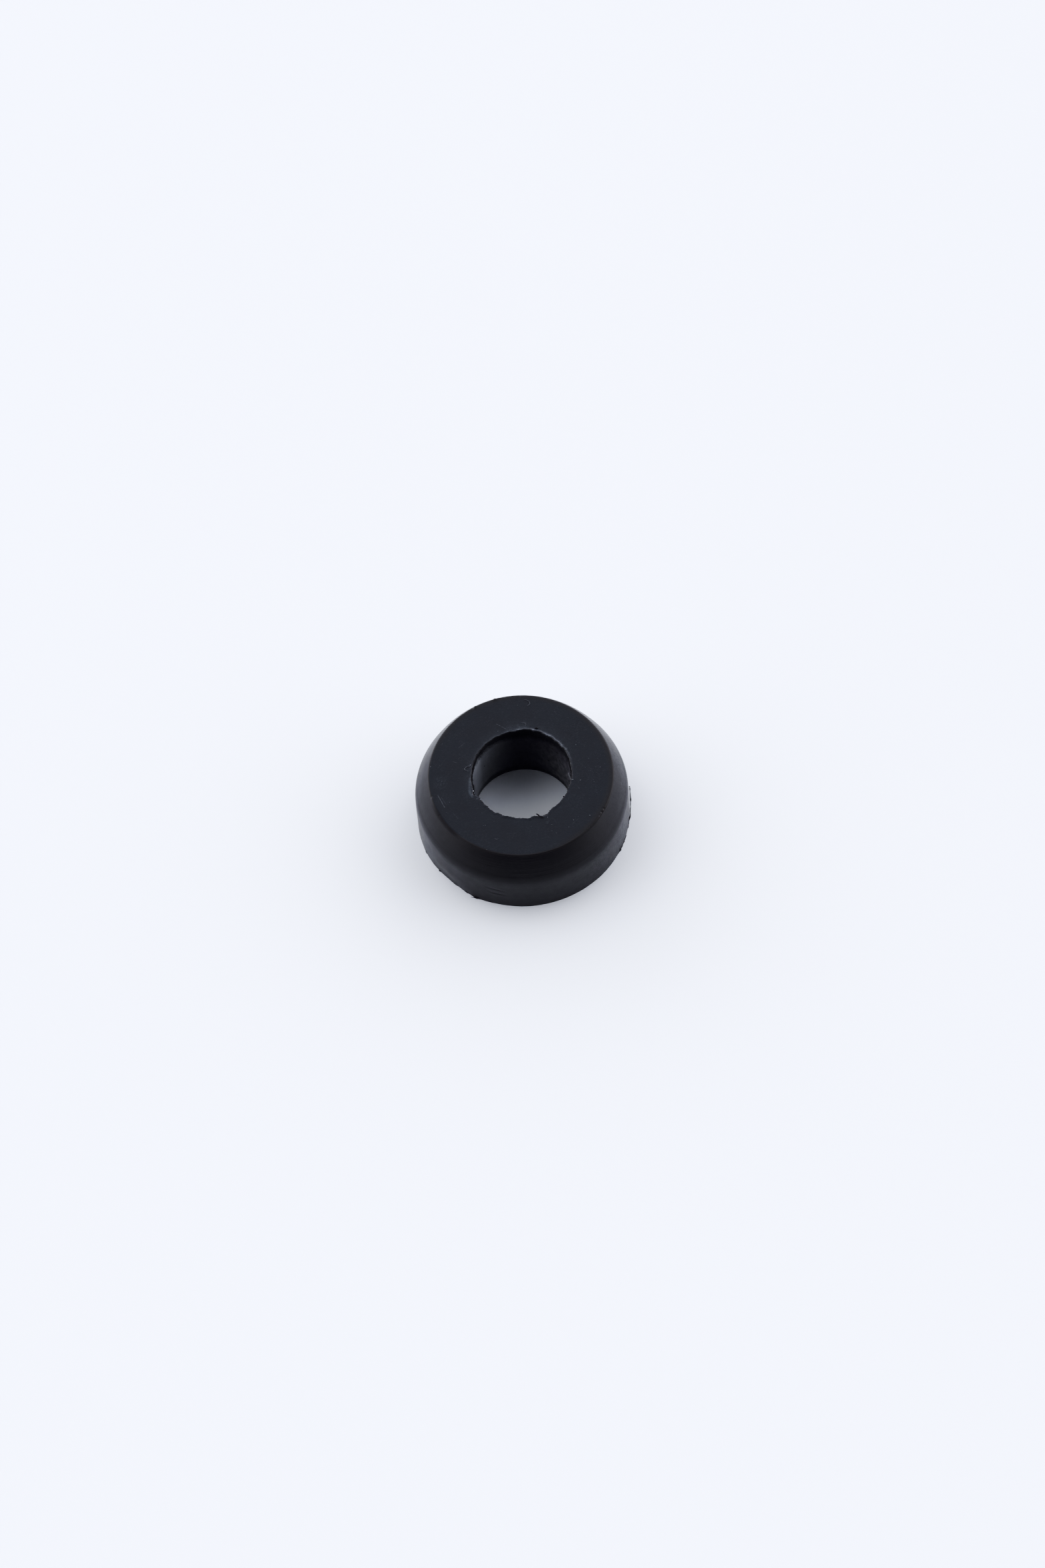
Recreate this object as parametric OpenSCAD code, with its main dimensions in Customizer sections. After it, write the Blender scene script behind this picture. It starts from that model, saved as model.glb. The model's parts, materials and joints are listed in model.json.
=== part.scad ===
// Tapered rubber grommet.
//
// One moulded ring of black rubber. A straight cylindrical band stands on a
// flat base. Above a softly rounded shoulder the outside tapers in to a flat
// top face, and one plain round hole runs through from top to base.
//
// Frame: millimetres, +Z up. The origin is at the centre of the base face, so
// the ring rests on z = 0 and its hole runs along Z.

/* [Body] */
// Outside diameter of the straight band
outer_d = 25; // [24:0.1:40]
// Overall height, from the base face to the top face
height = 9.2; // [9:0.1:16]
// Height at which the line of the band and the line of the taper would meet
shoulder_z = 5.9; // [4.5:0.1:6.5]
// Outside diameter of the flat top face
top_d = 21.6; // [18:0.1:22.4]

/* [Hole] */
// Diameter of the hole, which grips the spigot or bolt that passes through it
bore_d = 11.8; // [3:0.1:14]
// Radius on the hole's bottom edge, which leads the spigot in
bore_edge_r = 0.15; // [0.05:0.05:0.5]

/* [Edges] */
// Radius where the band blends into the taper
shoulder_r = 2.9; // [0.5:0.1:4]
// Radius on the outer edge of the top face, which is nearly sharp
top_edge_r = 0.12; // [0.05:0.01:0.4]
// Radius on the outer edge of the base, at the mould's parting line
base_edge_r = 0.12; // [0.05:0.01:0.4]

/* [Looks] */
// Colour of the rubber
rubber = "#1f2024"; // ["#1f2024":Black, "#3a3b40":Dark grey, "#6b2d22":Red oxide]

/* [Hidden] */

$fn = 128;

outer_r = outer_d / 2;
top_r = top_d / 2;
bore_r = bore_d / 2;

// The four outer corners of the half section, from the base edge round to the
// hole's top edge. The axis of the ring is the section's Y axis.
base_in = [bore_r, 0];
base_out = [outer_r, 0];
shoulder = [outer_r, shoulder_z];
top_out = [top_r, height];
top_in = [bore_r, height];

// Unit vector from a to b
function unit(a, b) = (b - a) / norm(b - a);

// Half of the angle at corner b, between its sides to a and to c
function half_angle(a, b, c) = acos(unit(b, a) * unit(b, c)) / 2;

// Point along the side from b towards a where an arc of radius r is tangent
function tangent_pt(a, b, c, r) = b + unit(b, a) * r / tan(half_angle(a, b, c));

// Centre of the arc of radius r that rounds corner b
function arc_centre(a, b, c, r) =
    b + unit([0, 0], unit(b, a) + unit(b, c)) * r / sin(half_angle(a, b, c));

// The sliver that rounding takes off corner b: the kite between the corner,
// the two tangent points and the arc's centre, less the arc's own circle.
module corner_waste(a, b, c, r) {
    m = arc_centre(a, b, c, r);
    difference() {
        polygon([b, tangent_pt(a, b, c, r), m, tangent_pt(c, b, a, r)]);
        translate(m) circle(r = r);
    }
}

// Half section of the ring, with every edge in its true form
module ring_section() {
    difference() {
        polygon([base_in, base_out, shoulder, top_out, top_in]);
        corner_waste(base_in, base_out, shoulder, base_edge_r);
        corner_waste(base_out, shoulder, top_out, shoulder_r);
        corner_waste(shoulder, top_out, top_in, top_edge_r);
        corner_waste(top_in, base_in, base_out, bore_edge_r);
    }
}

// The whole grommet, turned about Z
module grommet() {
    color(rubber)
    rotate_extrude()
    ring_section();
}

grommet();
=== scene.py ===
import json
import math

import bpy
import numpy as np
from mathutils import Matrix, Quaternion, Vector


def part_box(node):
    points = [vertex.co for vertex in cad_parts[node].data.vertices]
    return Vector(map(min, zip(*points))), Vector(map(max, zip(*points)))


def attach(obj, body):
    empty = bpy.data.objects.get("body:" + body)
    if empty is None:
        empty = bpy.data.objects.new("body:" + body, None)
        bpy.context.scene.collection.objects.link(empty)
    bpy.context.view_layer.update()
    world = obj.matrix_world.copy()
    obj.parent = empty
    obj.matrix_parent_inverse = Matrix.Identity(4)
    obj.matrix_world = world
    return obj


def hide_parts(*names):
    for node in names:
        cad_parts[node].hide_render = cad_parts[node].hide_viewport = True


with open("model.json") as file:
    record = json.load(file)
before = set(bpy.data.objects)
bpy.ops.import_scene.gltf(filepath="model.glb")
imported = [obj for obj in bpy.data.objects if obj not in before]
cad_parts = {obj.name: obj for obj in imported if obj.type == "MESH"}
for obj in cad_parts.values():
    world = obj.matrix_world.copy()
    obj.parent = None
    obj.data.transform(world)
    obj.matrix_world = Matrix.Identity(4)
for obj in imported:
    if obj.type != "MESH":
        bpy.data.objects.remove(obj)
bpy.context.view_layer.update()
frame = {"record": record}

MM = 0.001

# ---------------------------------------------------------------- dimensions
# Everything is worked out in millimetres and turned into metres at the end.
box_lo, box_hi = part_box("grommet")
H = box_hi.z / MM                              # top face
R = (box_hi.x - box_lo.x) / 2 / MM             # band
bore = next(m for m in frame["record"]["mounts"] if m["name"] == "bore")
RB = bore["dims"]["r_mm"]                      # bore wall
RT = 10.8                                      # outer edge of the top face
ZS = 5.9                                       # corner between band and taper
FR = 2.9                                       # radius that rounds that corner
CX, CY = 0.13, 0.105                           # the bore sits a little off centre


# ---------------------------------------------------------------- noise
def _hash(ix, iy, iz, seed):
    n = (ix.astype(np.int64) * 374761393 + iy.astype(np.int64) * 668265263
         + iz.astype(np.int64) * 2147483647 + seed * 1442695041) & 0xFFFFFFFF
    n = ((n ^ (n >> 13)) * 1274126177) & 0xFFFFFFFF
    n = ((n ^ (n >> 16)) * 2246822519) & 0xFFFFFFFF
    n = n ^ (n >> 15)
    return (n & 0xFFFFFF) / float(0xFFFFFF)


def noise3(x, y, z, seed=0):
    """Smooth value noise, from -1 to 1, with a feature about 1 unit across."""
    x, y, z = np.broadcast_arrays(*(np.asarray(v, float) for v in (x, y, z)))
    ix, iy, iz = np.floor(x), np.floor(y), np.floor(z)
    fx, fy, fz = x - ix, y - iy, z - iz
    fx, fy, fz = (f * f * f * (f * (f * 6 - 15) + 10) for f in (fx, fy, fz))
    out = 0.0
    for dx in (0, 1):
        for dy in (0, 1):
            for dz in (0, 1):
                w = ((fx if dx else 1 - fx) * (fy if dy else 1 - fy)
                     * (fz if dz else 1 - fz))
                out = out + w * _hash(ix + dx, iy + dy, iz + dz, seed)
    return out * 2 - 1


def fbm(x, y, z, seed=0, octaves=3, gain=0.5):
    total, amp, norm = 0.0, 1.0, 0.0
    for k in range(octaves):
        total = total + amp * noise3(x * 2 ** k, y * 2 ** k, z * 2 ** k, seed + 17 * k)
        norm += amp
        amp *= gain
    return total / norm


def smooth(a, b, t):
    u = np.clip((t - a) / (b - a), 0, 1)
    return u * u * (3 - 2 * u)


def around(th, at, half):
    """A smooth hump, 1 at the angle at and 0 beyond half degrees from it."""
    d = (np.degrees(th) - at + 180) % 360 - 180
    return np.where(np.abs(d) < half, (1 - (d / half) ** 2) ** 2, 0.0)


def between(th, a, b, edge=1.0):
    """1 from angle a to angle b, in degrees, with edges of the given width."""
    d = (np.degrees(th) - a) % 360
    span = (b - a) % 360
    up = smooth(0, edge, d)
    down = 1 - smooth(span - edge, span, d)
    return np.where(d <= span, up * down, 0.0)


# ---------------------------------------------------------------- the ring
NT = 768


def ring_angles():
    """Angles round the ring, closer together where the torn edges are busiest."""
    t = np.linspace(0, 2 * math.pi, 7201)[:-1]
    rho = np.ones_like(t)
    for at, half, k in ((285, 16, 2.2), (323, 6, 1.6), (212, 12, 0.8), (238, 8, 0.6),
                        (350, 14, 0.8), (332, 6, 0.6)):
        rho += k * around(t, at, half)
    c = np.concatenate([[0], np.cumsum(rho)])
    c = c / c[-1]
    return np.interp(np.linspace(0, 1, NT + 1)[:-1], c, np.linspace(0, 2 * math.pi, 7201))


TH = ring_angles()
COS, SIN = np.cos(TH), np.sin(TH)


def ring_noise(radius, per_mm, seed, octaves=3, gain=0.5, z=0.0):
    """Noise round a circle of that radius; per_mm is how many features fit in 1 mm."""
    return fbm(radius * COS * per_mm, radius * SIN * per_mm, np.full(NT, z * per_mm),
               seed, octaves, gain)


# Where the knife left the rim of the bore: angle and radius about the bore's own centre.
RIM = ((5, 5.67), (10, 5.72), (15, 5.82), (20, 5.83), (24, 5.86), (28, 5.90), (32, 5.81), (36, 5.82),
       (40, 5.87), (44, 5.80), (48, 5.84), (60, 5.84), (64, 5.91), (68, 5.90), (72, 5.84), (76, 5.93),
       (82, 5.95), (85, 5.92), (88, 5.83), (92, 5.80), (96, 5.73), (100, 5.83), (108, 5.76), (112, 5.73),
       (117, 5.80), (124, 5.80), (128, 5.77), (132, 5.79), (136, 5.72), (140, 5.67), (150, 5.65),
       (160, 5.61), (166, 5.57), (170, 5.63), (176, 5.68), (180, 5.71), (184, 5.72), (187, 5.76),
       (190, 5.69), (193, 5.78), (196, 5.82), (198, 5.93), (200, 6.04), (203, 5.98), (205, 5.84),
       (206.5, 5.76), (209, 5.82), (212, 5.87), (215, 5.82), (218, 5.86), (224, 5.83), (227, 5.93), (230, 5.97),
       (236, 6.04), (239, 5.89), (242, 5.90), (245, 6.03), (248, 5.95), (251, 5.87), (254, 5.93),
       (257, 5.95), (260, 6.01), (263, 5.97), (266, 5.97), (269, 6.03), (274.5, 6.11), (276, 6.07),
       (277.4, 5.91), (281, 5.91), (284, 6.04), (287, 6.12), (289.5, 6.30), (293, 6.36), (296, 6.20),
       (299, 6.01), (302, 5.93), (305, 5.91), (309, 5.96), (314, 5.95), (317, 5.91), (320, 5.90),
       (326, 5.93), (329, 5.91), (331.3, 5.84), (333, 5.77), (337, 5.81), (342, 5.84), (346, 5.81),
       (350, 5.76), (355, 5.71), (360, 5.69))


def rim_curve():
    a = np.array([q[0] for q in RIM], float)
    r = np.array([q[1] for q in RIM], float)
    return np.interp(np.degrees(TH), np.concatenate([a - 360, a, a + 360]), np.tile(r, 3))


def lip_radius():
    """Radius of the torn rim of the bore, about the bore's own centre."""
    r = rim_curve()
    # scalloped tear: rounded bites that meet in small points
    bite = 1 - np.abs(ring_noise(6, 1.5, 5, 1))
    r = r - 0.028 * (bite ** 4 - 0.32)
    bite = 1 - np.abs(ring_noise(6, 3.1, 9, 2))
    r = r - 0.028 * (bite ** 3 - 0.4)
    # the front of the rim was cut in short, jagged steps
    front = between(TH, 196, 344, 10)
    bite = 1 - np.abs(ring_noise(6, 4.4, 13, 1))
    r = r - front * 0.026 * (bite ** 5 - 0.3)
    step = np.clip(2.2 * ring_noise(6, 2.3, 15, 1), -1, 1)
    behind = between(TH, 78, 132, 8)
    r = r + behind * (0.012 * ring_noise(6, 1.3, 17, 1) + 0.030 * ring_noise(6, 3.4, 19, 2))
    return r + 0.012 * front * step + (0.014 + 0.006 * front) * ring_noise(6, 7.5, 11, 1)


def ring_smooth(v, degrees):
    """The same values round the ring, averaged over a few degrees."""
    grid = np.radians(np.arange(0, 360, 0.25))
    even = np.interp(grid, TH, v, period=2 * math.pi)
    n = int(degrees / 0.25)
    k = np.hanning(2 * n + 3)
    even = np.convolve(np.tile(even, 3), k / k.sum(), "same")[len(grid):2 * len(grid)]
    return np.interp(TH, grid, even, period=2 * math.pi)


LIP = lip_radius()
LIP_S = ring_smooth(LIP, 3.0)
# on the left the knife left a step: a groove between the raised ridge and the edge, painted dark as shade
LEDGE_AT = ((126, 0.0), (134, 0.05), (142, 0.12), (150, 0.19), (160, 0.24), (166, 0.22), (170, 0.19),
            (176, 0.15), (180, 0.17), (184, 0.20), (187, 0.15), (190, 0.25), (193, 0.20), (196, 0.14),
            (200, 0.16), (203, 0.26), (206, 0.10), (208, 0.0), (345, 0.0), (348, 0.07), (351, 0.11),
            (356, 0.14), (361, 0.13), (366, 0.11), (371, 0.08), (376, 0.03), (380, 0.0))
LEDGE = np.maximum(*(np.interp(np.degrees(TH) + turn, [q[0] for q in LEDGE_AT],
                               [q[1] for q in LEDGE_AT]) for turn in (0, 360)))
LEDGE = np.where(LEDGE > 0, LEDGE * (1 + 0.10 * ring_noise(6, 2.1, 53, 2) + 0.22 * ring_noise(6, 5.0, 55, 2)), 0)
LEDGE_S = ring_smooth(LEDGE, 2.0)
DROP = np.clip(LEDGE / 0.15, 0, 1)
GROOVE = DROP * (1 - 0.40 * between(TH, 168, 189, 6) - 0.55 * between(TH, 345, 16, 8))
LIPO, LIPO_S = LIP + LEDGE, LIP_S + LEDGE_S
# the raised burr: a thin ridge on the right and at the back, little at the front
RIDGE = between(TH, 349, 98, 24)
BURR = (0.014 + 0.010 * np.clip(ring_noise(6, 0.8, 21), -1, 1) + 0.048 * RIDGE
        + 0.008 * between(TH, 96, 208, 18) + (0.012 + 0.020 * RIDGE) * np.clip(ring_noise(6, 3.2, 23, 2), -1, 1))
BURR = np.clip(BURR, 0.004, 0.13)
SPREAD = 1 + 0.5 * RIDGE * (1 + 0.6 * ring_noise(6, 2.4, 59, 2))     # the ridge is also wider there


def table(pairs):
    """Values at angles, joined by straight lines, once round the ring."""
    a = np.array([q[0] for q in pairs], float)
    v = np.array([q[1] for q in pairs], float)
    return np.interp(np.degrees(TH), np.concatenate([a - 360, a, a + 360]), np.tile(v, 3))


# at the front the knife pushed the edge up, so it slopes down and away from the bore
FRONT = table(((0, 0), (200, 0), (208, .5), (213, 1), (221, 1), (227, .5), (233, .5), (238, 1), (252, 1),
               (257, .35), (272, .35), (276, 1.1), (290, 1.1), (296, .6), (312, .6), (320, .4), (334, .4),
               (342, 0)))
RISE = 0.062 * FRONT * (1 + 0.4 * ring_noise(6, 2.6, 65, 2))
LIP, LIP_S = LIP - 0.45 * SIN * 0.062 * FRONT, LIP_S - 0.45 * SIN * 0.062 * FRONT
LIPO, LIPO_S = LIP + LEDGE, LIP_S + LEDGE_S
# how pale the cut rubber is round the rim: partly dust, partly a painted highlight on the ridge
PALE = table(((0, .04), (10, .05), (20, .11), (30, .24), (45, .29), (56, .32), (63, .20), (66, .12),
              (72, .40), (77, .12), (80, .05), (84, .14), (89, .24), (94, .12), (102, .28), (108, .12),
              (120, .12), (128, .04), (140, .07), (150, .07), (160, .04), (183, .08), (192, .10),
              (202, .20), (208, .12), (213, .06), (216, .03), (286, .05), (290, .12), (298, .03), (344, .03)))
PALE = np.clip(PALE * (1 + 0.30 * ring_noise(6, 0.7, 25) + 0.95 * ring_noise(6, 2.9, 27, 2)), 0, 1)
WIDE = 0.30 + 0.50 * RIDGE
# where the torn edge is painted as a dark line beside the bore: painted shade of the torn, hollowed edge
TORN_EDGE_SHADE = 0.8 * between(TH, 204, 224, 4) + between(TH, 234, 263, 5) + 0.35 * between(TH, 222, 352, 6)
TORN_EDGE_SHADE = np.clip(TORN_EDGE_SHADE * (1 + 0.5 * ring_noise(6, 1.8, 57, 2)), 0, 1)
# the dusty haze that spreads out from the rim over the top face
HAZE = 0.10 + 0.80 * between(TH, 74, 107, 8) + 0.26 * between(TH, 28, 78, 10) \
    + 0.26 * between(TH, 104, 138, 10) + 0.18 * between(TH, 150, 208, 10)
HAZE = np.clip(HAZE * (1 + 0.3 * ring_noise(6, 0.8, 29)), 0, 1)
# depth of the rough, undercut zone below the rim
TORN = table(((0, 1.20), (5, 1.40), (12, 1.80), (20, 1.95), (45, 1.90), (75, 1.80), (92, 1.90), (110, 1.65),
              (125, 1.66), (137, 1.88), (150, 2.05), (157, 1.90), (165, 1.40), (175, 1.05), (200, 0.92),
              (215, 0.90), (240, 1.10), (300, 1.15), (345, 1.10))) \
    + 0.06 * ring_noise(6, 0.45, 31) + 0.08 * ring_noise(6, 1.7, 33, 2)
UNDER = 0.14 + 0.08 * between(TH, 10, 104, 14) + 0.05 * between(TH, 116, 166, 12) + 0.03 * ring_noise(6, 0.7, 35) + 0.02 * ring_noise(6, 2.4, 37)

# the base edge: a flat run, mould flash, and small tears
FLAT = (-0.20 * around(TH, 221, 15) - 0.05 * around(TH, 207, 9) - 0.05 * between(TH, 244, 266, 8)
        + 0.02 * ring_noise(12.5, 0.35, 41))
CHIP = -0.09 * between(TH, 226, 237.6, 2.5)
FLASH = (0.010 + 0.010 * ring_noise(12.5, 2.2, 43)
         + between(TH, 229.8, 242.5, 1.0) * (0.020 + 0.04 * ring_noise(12.5, 2.8, 45, 2))
         + 0.05 * around(TH, 234.0, 1.0) + 0.06 * around(TH, 240.4, 1.2)
         + between(TH, 328.5, 341.5, 1.2) * (0.030 + 0.045 * ring_noise(12.5, 2.9, 47, 2))
         + 0.11 * around(TH, 331.7, 1.2) + 0.05 * around(TH, 333.9, 0.9) + 0.07 * around(TH, 336.9, 0.8)
         + 0.06 * around(TH, 340.7, 0.8) + 0.07 * around(TH, 346.3, 0.9)
         + 0.06 * around(TH, 213.4, 0.9) + 0.05 * around(TH, 199.8, 1.3)
         + between(TH, 60, 150, 10) * np.clip(0.05 * ring_noise(12.5, 0.9, 49), 0, 1)
         + 0.05 * around(TH, 128, 3.0) + 0.04 * around(TH, 74, 2.2))
FLASH = np.clip(FLASH, 0.0, 0.2)
FLASH_T = 0.045 + 0.015 * ring_noise(12.5, 1.1, 51)
LUMP = 0.10 * around(TH, 331.6, 1.9)

rows = []          # each: radius, height, centre weight, zone masks


def row(r, z, c=0.0, **zones):
    rows.append((np.broadcast_to(np.asarray(r, float), (NT,)).copy(),
                 np.broadcast_to(np.asarray(z, float), (NT,)).copy(), c, zones))


# base face, from the bore outwards
for k, r in enumerate((RB + 0.17, 7.2, 9.0, 10.8, 11.7)):
    row(r, 0.0, 1.0 - k / 4.0, base=1)
row(R - 0.25 + FLAT + CHIP, 0.0, base=1)
# flash fin along the mould's parting line, then the base edge above it
row(R - 0.06 + FLAT + CHIP, 0.0, base=1, flash=0.5)
row(R + FLAT + CHIP + FLASH * 0.85, 0.003, flash=1)
row(R + FLAT + CHIP + FLASH, 0.5 * FLASH_T, flash=1)
row(R + FLAT + CHIP + FLASH * 0.8, FLASH_T, flash=1)
row(R - 0.012 + FLAT * 0.98 + CHIP * 0.95, 0.085 + LUMP * 0.4, side=1, flash=0.5)
row(R + LUMP * 0.5 + FLAT * 0.93 + CHIP * 0.8, 0.17 + LUMP * 0.7, side=1)


def band_wave(z, amount=1.0):
    s = 0.008 * fbm(R * COS * 0.16, R * SIN * 0.16, np.full(NT, z * 0.35), 61, 2)
    s = s + 0.0012 * fbm(R * COS * 0.5, R * SIN * 0.5, np.full(NT, z * 2.2), 63, 2)
    return amount * s


t_sh = FR * math.tan(math.atan2(R - RT, H - ZS) / 2)
cone_a = math.atan2(R - RT, H - ZS)            # taper, from the vertical
z_band = ZS - t_sh
BAND_Z = np.concatenate([np.linspace(0.36, 1.9, 5), np.linspace(2.16, 3.86, 15),
                         np.linspace(4.2, z_band, 4)])
for z in BAND_Z:
    fade = (1 - smooth(0.3, 2.6, z)) ** 1.2
    groove = 0.0
    # two short scores on the front of the band, with the rubber pushed up beside them
    for at, zc, half, depth, tilt in ((251.8, 3.50, 7.0, 0.034, -0.026),
                                      (252.4, 2.58, 6.4, 0.036, -0.010),
                                      (248.0, 3.16, 3.2, -0.016, -0.075)):
        zz = zc + tilt * ((np.degrees(TH) - at + 180) % 360 - 180)
        groove = groove - depth * around(TH, at, half) * np.exp(-((z - zz) / 0.115) ** 2)
        groove = groove + 0.45 * depth * around(TH, at, half) * np.exp(-((z - zz + 0.30) / 0.14) ** 2)
    row(R + FLAT * fade * 0.93 + CHIP * 0.7 * (1 - smooth(0.1, 1.2, z)) + band_wave(z) + groove, z, side=1)
# rounded shoulder
mx, mz = R - FR, z_band
for a in np.linspace(0, cone_a, 11)[1:]:
    row(mx + FR * math.cos(a) + band_wave(mz + FR * math.sin(a), 0.8),
        mz + FR * math.sin(a), side=1, cone=smooth(0.3, 1.0, a / cone_a))
# taper, with the marks of the tool that turned it, strongest at the front
TOOLED = 0.25 + 0.75 * between(TH, 238, 300, 22)
ts = t_sh
ax, az = math.sin(cone_a), math.cos(cone_a)
L = math.hypot(R - RT, H - ZS)
ER = 0.20                                      # how far that edge is rounded over
te = ER * math.tan((math.pi / 2 - cone_a) / 2)
# the top face reaches a little further out at the front
OUT = table(((20, .02), (60, 0), (120, 0), (160, -.01), (185, -.02), (205, .03), (225, .05), (245, .09),
             (265, .12), (280, .12), (295, .11), (315, .10), (335, .08), (355, .04), (380, .02)))
for s in np.linspace(ts, L - te, 22)[1:]:
    rr, zz = R - ax * s, ZS + az * s
    u = (s - ts) / (L - te - ts)
    crown = 0.065 * math.sin(math.pi * u) + OUT * u
    tool = 0.0040 * noise3(COS * 1.3, SIN * 1.3, np.full(NT, s * 5.0), 71) * TOOLED
    row(rr + crown * az + tool + band_wave(zz, 0.6), zz + crown * ax, side=1, cone=1)
# outer edge of the top face, nearly sharp, with small nicks
NICK = 0.012 * np.clip(ring_noise(10.8, 1.3, 81) - 0.15, 0, 1) + 0.05 * around(TH, 191.3, 1.0) \
    + 0.06 * around(TH, 329.6, 1.0) + 0.06 * around(TH, 326.8, 1.1) + 0.02 * around(TH, 64, 1.0) \
    - 0.045 * around(TH, 102.5, 1.0) - 0.030 * around(TH, 100.2, 1.0) - 0.035 * around(TH, 115.6, 1.1) \
    + 0.05 * around(TH, 117.3, 0.9) + 0.03 * around(TH, 205.5, 0.8) \
    + 0.015 * around(TH, 316.6, 1.0) + 0.020 * around(TH, 313.6, 0.9) + 0.013 * around(TH, 311.4, 0.9)
BUMP = 0.05 * around(TH, 102.2, 1.6) + 0.05 * around(TH, 115.8, 1.2) + 0.02 * around(TH, 88, 0.8)
ex, ez = RT - te, H - ER
for a in np.linspace(cone_a, math.pi / 2, 7)[1:]:
    row(ex + OUT + ER * math.cos(a) - NICK, ez + ER * math.sin(a) + BUMP * math.sin(a) - 0.5 * NICK,
        side=1 - smooth(0.6, 1.0, a), cone=1, edge=1)
# top face
for k, r in enumerate(np.concatenate([[10.62, 10.45, 10.15], np.linspace(9.7, 7.5, 7)])):
    c = float(np.clip((RT - r) / (RT - 7.6), 0, 1)) ** 1.2
    sink = 0.006 * fbm(r * COS * 0.28, r * SIN * 0.28, np.full(NT, 0.7), 91, 2)
    row(r, H + sink * smooth(RT, RT - 0.8, np.full(NT, r)) + BUMP * 0.5 * float(r > 10.6), c, top=1)
for k in (1.05, 0.82, 0.64, 0.50):
    row(np.maximum(LIPO_S + k, LIPO + k * 0.85), H + BURR * 0.12 * (1.05 - k), 1, top=1,
        haze=HAZE * math.exp(-(k / 0.80) ** 1.6))
# raised, torn rim round the bore: a shallow gutter, then a thin ridge
ON = np.clip(FRONT, 0, 1)
SPREAD = SPREAD + 1.0 * ON
BURR = BURR * (1 - 0.7 * ON) * (1 - 0.55 * around(TH, 80, 9))
row(np.maximum(LIPO_S, LIPO - 0.03) + 0.25 + 0.12 * (SPREAD - 1), H - 0.012 * RIDGE, 1, top=1,
    haze=HAZE * 0.9, lip=0.5 * WIDE * PALE)
row(LIPO + 0.145 * SPREAD, H + BURR * 0.45 - 0.008 * RIDGE + 0.15 * RISE, 1, top=1, haze=HAZE,
    lip=WIDE * PALE)
row(LIPO + 0.095 * SPREAD, H + BURR + 0.42 * RISE, 1, top=1 - 0.1 * (1 - ON), haze=HAZE, lip=PALE)
row(LIPO + 0.055 * SPREAD, H + BURR * 0.9 + 0.70 * RISE, 1, top=0.5 + 0.4 * ON, lip=PALE, torn=0.15 * TORN_EDGE_SHADE)
row(LIPO + 0.020 * SPREAD, H + BURR * 0.6 - 0.006 + RISE, 1, lip=0.7 * PALE, torn=0.60 * TORN_EDGE_SHADE)
row(LIPO, H + BURR * 0.2 - 0.02 + 0.75 * RISE, 1, lip=0.3 * PALE, torn=0.5 + 0.5 * TORN_EDGE_SHADE)
# the groove on the left, painted dark as shade; elsewhere these rows only round the edge off
row(LIP + LEDGE * 0.86 + 0.004, H - 0.035 - 0.27 * DROP, 1, torn=1, bore=0.5, groove=GROOVE)
row(LIP + LEDGE * 0.50 + 0.006, H - 0.045 - 0.34 * DROP, 1, torn=1, bore=1, groove=GROOVE)
row(LIP + LEDGE * 0.10 + 0.004, H - 0.055 - 0.22 * DROP, 1, torn=1, bore=1, groove=GROOVE)
row(LIP + 0.012, H - 0.075 - 0.23 * DROP, 1, torn=1, bore=1)
row(LIP + 0.05, H - 0.15 - 0.25 * DROP, 1, torn=1, bore=1)
row(np.maximum(LIP + 0.08, RB + UNDER * 0.9), H - 0.27 - 0.22 * DROP, 1, torn=1, bore=1)
for f in (0.12, 0.40, 0.66, 0.84):
    under = 0.27 + 0.22 * DROP
    z = H - (under + (TORN - under) * f)
    rough = 0.018 * fbm(6 * COS * 2.2, 6 * SIN * 2.2, z * 2.2, 101, 3)
    row(RB + UNDER * (1.0 if f < 0.8 else 0.75) + rough, z, 1, torn=1, bore=1)
row(RB + UNDER * 0.35, H - TORN * 0.97, 1, torn=1, bore=1)
row(RB + 0.012, H - TORN * 1.05, 1, torn=1, bore=1)


# bore wall: smooth on one side and torn on the other
def wall(z, f):
    rough_side = 0.12 + 0.88 * between(TH, 285, 80, 35)
    w = 0.010 * rough_side * fbm(6 * COS * 0.9, 6 * SIN * 0.9, z * 0.9, 103, 2)
    w = w + 0.012 * fbm(6 * COS * 0.25, 6 * SIN * 0.25, z * 0.25, 109, 2)
    return w * smooth(0, 0.12, np.full(NT, f))


for f in np.linspace(0.04, 1.0, 19):
    top_z = H - TORN * 1.10
    z = top_z + (0.19 - top_z) * f
    row(RB + wall(z, 1 - f * 0.96), z, 1, bore=1, torn=1)
row(RB + 0.02, 0.09, 1, bore=1, torn=1)
row(RB + 0.07, 0.02, 1, bore=1, torn=1)

NP = len(rows)
ZONES = ("top", "side", "cone", "bore", "torn", "lip", "haze", "groove", "flash", "edge", "base")


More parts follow.
